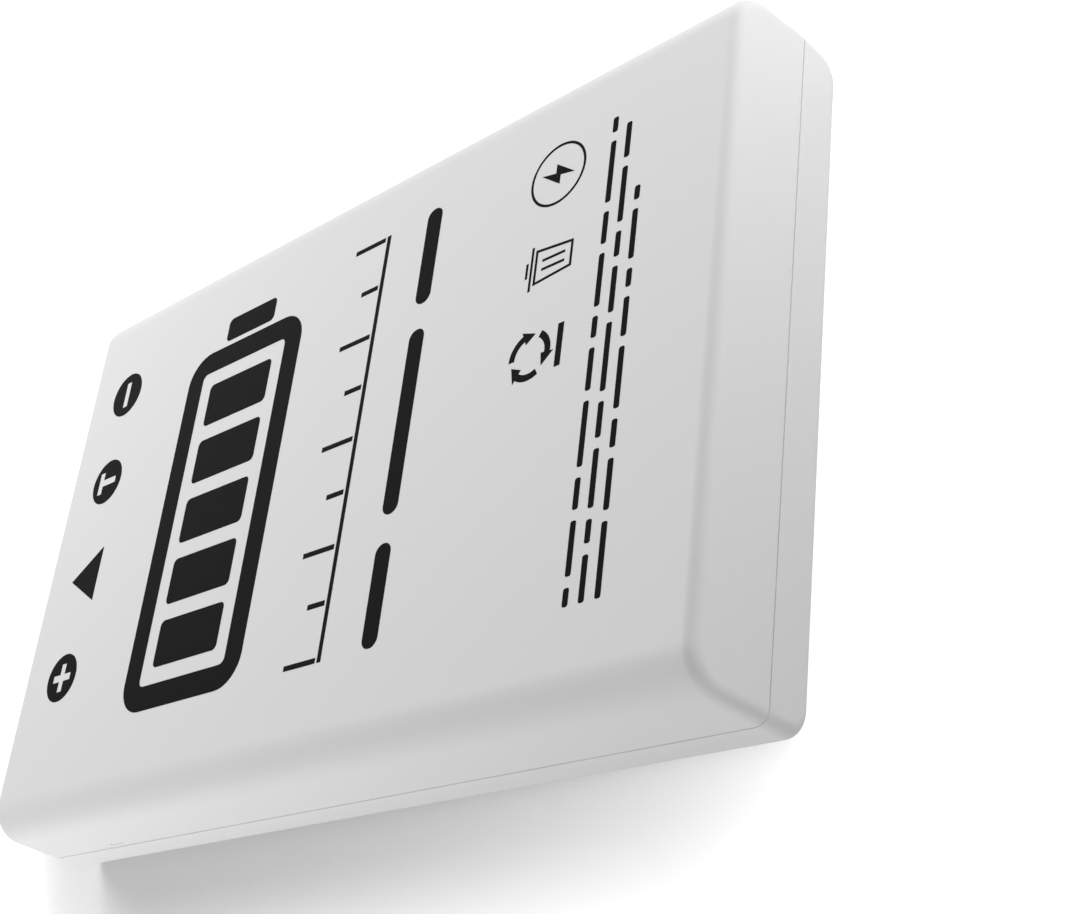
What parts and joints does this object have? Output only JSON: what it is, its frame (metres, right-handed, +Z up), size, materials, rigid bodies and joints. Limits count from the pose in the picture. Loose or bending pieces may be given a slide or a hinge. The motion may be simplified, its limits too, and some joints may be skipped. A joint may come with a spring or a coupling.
{
  "type": "camera battery",
  "caption": "Slim rectangular rechargeable camera battery in a white moulded case and cover, with recessed contacts in one end, around a flat lithium-ion cell and its protection board.",
  "frame": {"origin": "centre of the bounding box at its bottom, where the back cover rests on the surface", "axes": "+X along the length away from the contact end, +Y across the width towards the negative contact, +Z up out of the printed face"},
  "size_m": [0.054, 0.036, 0.0078],
  "materials": {
    "case_plastic": "fine satin moulding",
    "cell_aluminium": "drawn",
    "gasket_plastic": "matte",
    "nickel": "nickel plated strip",
    "insulating_card": "plain",
    "board_laminate": "green solder mask over glass laminate",
    "chip_package": "moulded epoxy",
    "chip_ceramic": "matte",
    "resistor_ceramic": "matte glaze",
    "contact_gold": "gold plated",
    "adhesive_tape": "double-sided tape",
    "print_ink": "black ink printed on the case",
    "pad_foam": "closed-cell foam"
  },
  "bodies": {
    "root": {"front_case": "case_plastic", "rear_cover": "case_plastic", "cell_can": "cell_aluminium", "cell_cap": "cell_aluminium", "fill_plug": "cell_aluminium", "terminal_gasket": "gasket_plastic", "cell_terminal": "nickel", "cap_insulator": "insulating_card", "positive_tab": "nickel", "negative_tab": "nickel", "circuit_board": "board_laminate", "protection_ic": "chip_package", "switch_transistor": "chip_package", "thermistor": "resistor_ceramic", "chip_resistors": "resistor_ceramic", "chip_capacitors": "chip_ceramic", "positive_contact": "contact_gold", "temperature_contact": "contact_gold", "negative_contact": "contact_gold", "front_tape": "adhesive_tape", "rear_tape": "adhesive_tape", "end_pad": "pad_foam"}
  },
  "joints": []
}
